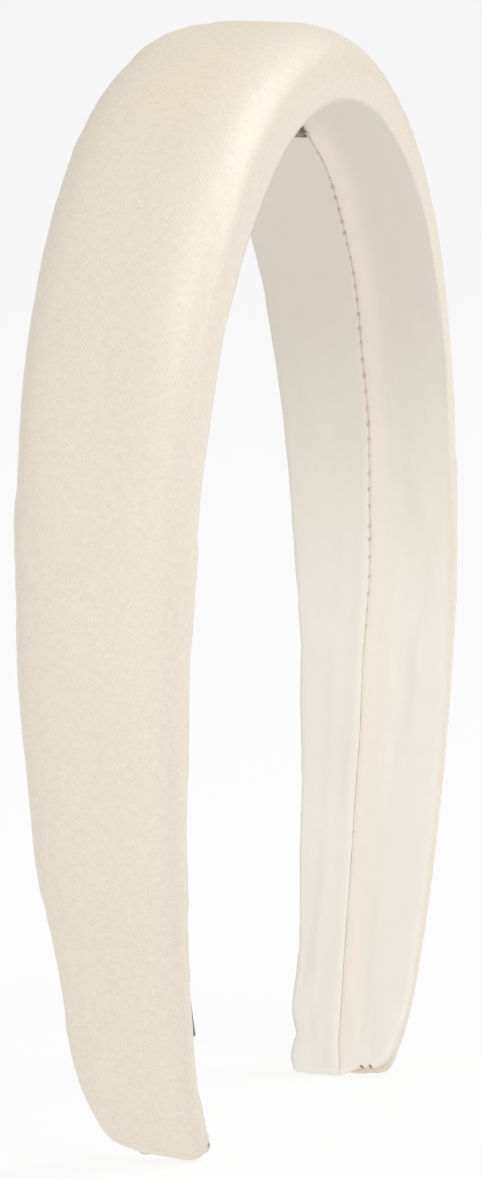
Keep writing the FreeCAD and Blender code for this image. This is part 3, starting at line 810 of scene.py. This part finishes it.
class Nodes:
    """A material and short ways to add and join its nodes."""

    def __init__(self, name):
        self.material = bpy.data.materials.new(name)
        self.material.use_nodes = True
        self.tree = self.material.node_tree
        self.shader = self.tree.nodes["Principled BSDF"]

    def add(self, kind, inputs=None, **settings):
        node = self.tree.nodes.new(kind)
        for key, item in settings.items():
            setattr(node, key, item)
        for key, item in (inputs or {}).items():
            self.put(item, node.inputs[key])
        return node

    def put(self, item, socket):
        if isinstance(item, bpy.types.NodeSocket):
            self.tree.links.new(item, socket)
        else:
            socket.default_value = item

    def surface(self, name, item):
        """Set or link one input of the shader."""
        self.put(item, self.shader.inputs[name])

    def math(self, operation, first, second):
        return self.add("ShaderNodeMath", {0: first, 1: second}, operation=operation).outputs[0]

    def mix(self, share, first, second):
        node = self.add("ShaderNodeMix", data_type="RGBA", blend_type="MIX")
        self.put(share, node.inputs["Factor"])
        self.put(first, node.inputs["A"])
        self.put(second, node.inputs["B"])
        return node.outputs["Result"]

    def noise(self, vector, scale, detail=3.0, rough=0.5):
        node = self.add("ShaderNodeTexNoise", {"Vector": vector, "Scale": scale, "Detail": detail,
                                               "Roughness": rough})
        return node.outputs["Fac"]

    def spread(self, item, low, high, new_low, new_high):
        node = self.add("ShaderNodeMapRange", {"Value": item, "From Min": low, "From Max": high,
                                               "To Min": new_low, "To Max": new_high})
        return node.outputs["Result"]

    def value(self, name):
        return self.add("ShaderNodeAttribute", attribute_name=name).outputs["Fac"]

    def bump(self, height, distance, strength=1.0, normal=None):
        inputs = {"Height": height, "Distance": distance, "Strength": strength}
        if normal is not None:
            inputs["Normal"] = normal
        return self.add("ShaderNodeBump", inputs).outputs["Normal"]


def satin_material():
    """Ivory duchesse satin: fine diagonal floats, soft anisotropic lustre, a matter head side."""
    nodes = Nodes("satin")
    uv = nodes.add("ShaderNodeUVMap", uv_map="cloth").outputs["UV"]
    per_mm = nodes.add("ShaderNodeVectorMath", {0: uv, "Scale": 1000.0}, operation="SCALE").outputs[0]
    head = nodes.value("facing_head")
    away = nodes.math("SUBTRACT", 1.0, head)
    wander = nodes.noise(per_mm, 0.35, 2.0)
    slanted = nodes.add("ShaderNodeMapping", {"Vector": per_mm, "Scale": (0.62, 1.0, 1.0)}).outputs[0]
    twill = nodes.add("ShaderNodeTexWave", {"Vector": slanted, "Scale": 1.35, "Distortion": 2.2,
                                            "Detail": 2.0, "Detail Scale": 1.2},
                      wave_type="BANDS", bands_direction="DIAGONAL").outputs["Fac"]
    stretch = nodes.add("ShaderNodeMapping", {"Vector": per_mm, "Scale": (1.6, 4.5, 1.0)}).outputs[0]
    floats = nodes.noise(stretch, 1.0, 2.0, 0.6)
    grain = nodes.noise(slanted, 3.2, 2.0, 0.7)
    patchy = nodes.spread(nodes.noise(per_mm, 0.9, 2.0), 0.3, 0.7, 0.25, 1.0)
    twill = nodes.math("MULTIPLY", twill, patchy)
    cloud = nodes.noise(per_mm, 0.03, 3.0)

    base = nodes.mix(cloud, colour(241, 232, 220), colour(237, 227, 212))
    # painted light: a warmer, yellower tone on the crown's top
    base = nodes.mix(nodes.math("MULTIPLY", nodes.value("crown_top_painted_light"), 0.45), base, colour(240, 226, 197))
    # painted light: the inner face takes a lighter, less yellow tone of the same satin, making up for
    # the shade inside the hoop; its matter finish comes from roughness
    lining = nodes.mix(cloud, colour(243, 239, 230), colour(238, 233, 222))
    # painted shade: the lining turns greyer and darker under the crown
    lining = nodes.mix(nodes.value("under_crown_painted_shade"), lining, colour(221, 213, 202))
    shade = nodes.mix(head, base, lining)
    weave = nodes.math("ADD", nodes.math("MULTIPLY", twill, 0.6), nodes.math("MULTIPLY", floats, 0.7))
    weave = nodes.math("ADD", weave, nodes.math("MULTIPLY", grain, 0.9))
    dark = nodes.spread(weave, 0.7, 1.35, 0.0, 1.0)
    dark = nodes.math("MULTIPLY", dark, nodes.spread(away, 0.0, 1.0, 0.15, 1.0))
    shade = nodes.mix(nodes.math("MULTIPLY", dark, 0.4), shade, colour(205, 190, 165))
    warm = nodes.value("seam_warmth")
    shade = nodes.mix(nodes.math("MULTIPLY", warm, 0.5), shade, colour(247, 232, 218))
    # painted shade with a tan tint along each tip's closing seam
    shade = nodes.mix(nodes.math("MULTIPLY", nodes.value("closing"), 0.75), shade, colour(196, 164, 122))
    nodes.surface("Base Color", shade)

    rough = nodes.spread(weave, 0.6, 1.4, 0.26, 0.5)
    rough = nodes.math("ADD", rough, nodes.math("MULTIPLY", head, 0.16))
    nodes.surface("Roughness", rough)
    nodes.surface("Anisotropic", 0.55)
    tangent = nodes.add("ShaderNodeTangent", direction_type="UV_MAP", uv_map="cloth").outputs[0]
    nodes.surface("Tangent", tangent)
    nodes.surface("Specular IOR Level", 0.5)
    nodes.surface("Sheen Weight", 0.06)
    nodes.surface("Sheen Roughness", 0.35)
    nodes.surface("Sheen Tint", colour(255, 246, 232))
    strength = nodes.math("MULTIPLY", nodes.spread(away, 0.0, 1.0, 0.25, 1.0), 0.9)
    soft = nodes.bump(wander, 0.06 * MM, 0.5)
    nodes.surface("Normal", nodes.bump(weave, 0.034 * MM, strength, soft))
    return nodes.material


def fibre_material(name, tone, dark_tone, scale, rough, depth, sheen):
    """Foam, felt, thread, tape, plastic or label: an even colour with a fine grain."""
    nodes = Nodes(name)
    place = nodes.add("ShaderNodeTexCoord").outputs["Object"]
    grain = nodes.noise(place, scale, 4.0, 0.6)
    patch = nodes.noise(place, scale / 14, 2.0)
    shade = nodes.mix(nodes.spread(grain, 0.3, 0.7, 0.0, 1.0), tone, dark_tone)
    shade = nodes.mix(nodes.math("MULTIPLY", patch, 0.25), shade, dark_tone)
    nodes.surface("Base Color", shade)
    matte = nodes.spread(grain, 0.2, 0.8, rough - 0.06, rough + 0.06)
    nodes.surface("Roughness", matte)
    nodes.surface("Sheen Weight", sheen)
    nodes.surface("Normal", nodes.bump(grain, depth, 0.6))
    return nodes.material


def woven_label_material():
    """Brown taffeta, dark at both ends and along the fold: plain over-and-under weave, no marks."""
    nodes = Nodes("woven_label")
    uv = nodes.add("ShaderNodeUVMap", uv_map="cloth").outputs["UV"]
    per_mm = nodes.add("ShaderNodeVectorMath", {0: uv, "Scale": 1000.0}, operation="SCALE").outputs[0]
    waves = {"Vector": per_mm, "Scale": 1.3}
    warp = nodes.add("ShaderNodeTexWave", waves, bands_direction="X").outputs["Fac"]
    weft = nodes.add("ShaderNodeTexWave", waves, bands_direction="Y").outputs["Fac"]
    weave = nodes.math("MULTIPLY", warp, weft)
    fill = nodes.mix(weave, colour(126, 90, 60), colour(152, 114, 78))
    shade = nodes.mix(nodes.value("dark_border"), fill, colour(48, 42, 38))
    nodes.surface("Base Color", shade)
    nodes.surface("Roughness", nodes.spread(weave, 0.0, 1.0, 0.62, 0.5))
    nodes.surface("Sheen Weight", 0.3)
    nodes.surface("Normal", nodes.bump(weave, 0.04 * MM, 0.8))
    return nodes.material


def floor_material():
    nodes = Nodes("pale_floor")
    nodes.surface("Base Color", colour(250, 250, 250))
    nodes.surface("Roughness", 0.9)
    nodes.surface("Specular IOR Level", 0.05)
    glow = nodes.add("ShaderNodeEmission", {"Color": colour(248, 248, 248), "Strength": 1.06})
    blend = nodes.add("ShaderNodeMixShader", {"Fac": 0.84})
    output = nodes.tree.nodes["Material Output"]
    nodes.tree.links.new(nodes.shader.outputs[0], blend.inputs[1])
    nodes.tree.links.new(glow.outputs[0], blend.inputs[2])
    nodes.tree.links.new(blend.outputs[0], output.inputs["Surface"])
    return nodes.material


def give(piece, material):
    piece.data.materials.clear()
    piece.data.materials.append(material)


# ---------------------------------------------------------------- camera, light and floor

CAMERA_AZIMUTH = math.radians(73.075)
CAMERA_ELEVATION = math.radians(6.135)
CAMERA_ROLL = math.radians(-0.379)
CAMERA_DISTANCE = 3.094
CAMERA_TARGET = (-0.0001, 0.0003, 0.07556)
CAMERA_LENS = 664.4
SENSOR = 36.0
LIGHTS_AIM = (0, 0, 0.08)
FLOOR_HALF = 30


def make_camera():
    back = Vector((-math.sin(CAMERA_AZIMUTH) * math.cos(CAMERA_ELEVATION),
                   -math.cos(CAMERA_AZIMUTH) * math.cos(CAMERA_ELEVATION), math.sin(CAMERA_ELEVATION)))
    right = Vector((math.cos(CAMERA_AZIMUTH), -math.sin(CAMERA_AZIMUTH), 0))
    up = back.cross(right)
    rolled_right = right * math.cos(CAMERA_ROLL) + up * math.sin(CAMERA_ROLL)
    rolled_up = up * math.cos(CAMERA_ROLL) - right * math.sin(CAMERA_ROLL)
    data = bpy.data.cameras.new("camera")
    data.lens = CAMERA_LENS
    data.sensor_width = SENSOR
    data.sensor_fit = "AUTO"
    data.clip_start, data.clip_end = 0.1, 50
    camera = bpy.data.objects.new("camera", data)
    bpy.context.scene.collection.objects.link(camera)
    turn = Matrix((rolled_right, rolled_up, back)).transposed().to_4x4()
    camera.matrix_world = Matrix.Translation(Vector(CAMERA_TARGET) + back * CAMERA_DISTANCE) @ turn
    bpy.context.scene.camera = camera


def softbox(name, azimuth, elevation, distance, size, power, tint):
    """An area light aimed at the band, at an azimuth and elevation round it."""
    azimuth, elevation = math.radians(azimuth), math.radians(elevation)
    back = Vector((math.sin(azimuth) * math.cos(elevation), -math.cos(azimuth) * math.cos(elevation),
                   math.sin(elevation)))
    data = bpy.data.lights.new(name, "AREA")
    data.shape = "RECTANGLE"
    data.size, data.size_y = size
    data.energy = power
    data.color = tint
    light = bpy.data.objects.new(name, data)
    bpy.context.scene.collection.objects.link(light)
    light.location = Vector(LIGHTS_AIM) + back * distance
    light.rotation_mode = "QUATERNION"
    light.rotation_quaternion = back.to_track_quat("Z", "Y")
    light.visible_camera = False


def make_studio():
    world = bpy.data.worlds.new("studio")
    world.use_nodes = True
    tree = world.node_tree
    background = tree.nodes["Background"]
    background.inputs["Color"].default_value = colour(248, 248, 248)
    direction = tree.nodes.new("ShaderNodeTexCoord").outputs["Generated"]
    strength = None
    for axis, near_value in (((0, 0, 1), 0.62), ((0.45, -0.89, 0), 0.1), ((-0.3, 0.95, 0), 0.75)):
        towards = tree.nodes.new("ShaderNodeVectorMath")
        towards.operation = "DOT_PRODUCT"
        towards.inputs[1].default_value = axis
        tree.links.new(direction, towards.inputs[0])
        fall = tree.nodes.new("ShaderNodeMapRange")
        fall.interpolation_type = "SMOOTHSTEP"
        limits = {"From Min": 0.1, "From Max": 0.85, "To Min": 1.0, "To Max": near_value}
        for name, item in limits.items():
            fall.inputs[name].default_value = item
        tree.links.new(towards.outputs["Value"], fall.inputs["Value"])
        if strength is None:
            strength = fall.outputs["Result"]
        else:
            product = tree.nodes.new("ShaderNodeMath")
            product.operation = "MULTIPLY"
            tree.links.new(strength, product.inputs[0])
            tree.links.new(fall.outputs["Result"], product.inputs[1])
            strength = product.outputs[0]
    tree.links.new(strength, background.inputs["Strength"])
    bpy.context.scene.world = world
    bpy.context.scene.view_settings.view_transform = "Standard"
    softbox("front_key", -46, 50, 1.2, (0.7, 0.8), 5.0, (1.0, 1.0, 0.995))
    softbox("crown_key", 40, 40, 1.2, (0.6, 0.9), 6.8, (1.0, 0.995, 0.99))
    softbox("low_fill", -85, 4, 1.6, (0.9, 0.5), 1.6, (1.0, 0.99, 0.98))
    corners = [(-FLOOR_HALF, -FLOOR_HALF, 0), (FLOOR_HALF, -FLOOR_HALF, 0),
               (FLOOR_HALF, FLOOR_HALF, 0), (-FLOOR_HALF, FLOOR_HALF, 0)]
    floor = new_mesh("floor", corners, [(0, 1, 2, 3)], smooth=False)
    floor.location.z = -0.3 * MM
    give(floor, floor_material())


# ---------------------------------------------------------------- assembly

make_camera()
make_studio()

satin = satin_material()
foam = fibre_material("foam", colour(236, 232, 214), colour(214, 206, 180),
                      scale=2500.0, rough=0.9, depth=0.12 * MM, sheen=0.2)
felt = fibre_material("felt", colour(240, 238, 232), colour(222, 218, 208),
                      scale=3500.0, rough=0.95, depth=0.1 * MM, sheen=0.4)
hoop_plastic = fibre_material("hoop_plastic", colour(238, 236, 230), colour(228, 225, 217),
                              scale=300.0, rough=0.42, depth=0.01 * MM, sheen=0.0)
tape = fibre_material("tape", colour(226, 214, 178), colour(206, 190, 150),
                      scale=900.0, rough=0.5, depth=0.02 * MM, sheen=0.0)
seam_thread = fibre_material("thread", colour(232, 214, 192), colour(206, 182, 152),
                             scale=9000.0, rough=0.6, depth=0.03 * MM, sheen=0.3)
tip_thread = fibre_material("closing_thread", colour(176, 142, 106), colour(126, 96, 66),
                            scale=9000.0, rough=0.6, depth=0.03 * MM, sheen=0.3)
label_cloth = woven_label_material()
pressed = fibre_material("pressed_label", colour(122, 121, 122), colour(98, 97, 98),
                         scale=4000.0, rough=0.55, depth=0.01 * MM, sheen=0.1)

wrap = make_satin_wrap()
give(wrap, satin)
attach(wrap, "band")
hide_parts("satin_cover")

filling = make_foam_filling()
give(filling, foam)
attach(filling, "band")
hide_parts("foam_pad")

lining = closed_strip("felt_lining", 0.75 * MM, 1.75 * MM, 10.8 * MM, 5.8 * MM, groove=0.45 * MM)
give(lining, felt)
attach(lining, "band")
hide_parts("inner_padding")

spring = closed_strip("sprung_hoop", 1.8 * MM, 3.6 * MM, 10.0 * MM, 5.5 * MM, grain=0.0)
give(spring, hoop_plastic)
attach(spring, "band")
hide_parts("core_band")

fixing = closed_strip("fixing_tape", 3.6 * MM, 3.8 * MM, 9.0 * MM, 4.5 * MM, grain=0.0)
give(fixing, tape)
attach(fixing, "band")
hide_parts("adhesive_tape")

stitches = make_seam_stitches()
give(stitches, seam_thread)
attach(stitches, "band")
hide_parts("seam_thread")
for side, word in ((-1, "left"), (1, "right")):
    closing = make_tip_stitches(word + "_tip_stitches", side)
    give(closing, tip_thread)
    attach(closing, "band")
    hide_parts(word + "_end_stitches")

label = make_crown_label()
give(label, label_cloth)
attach(label, "label")
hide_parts("crown_label")

patch = make_tip_patch()
give(patch, pressed)
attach(patch, "band")
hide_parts("tip_label")

give(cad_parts["label_ends"], pressed)
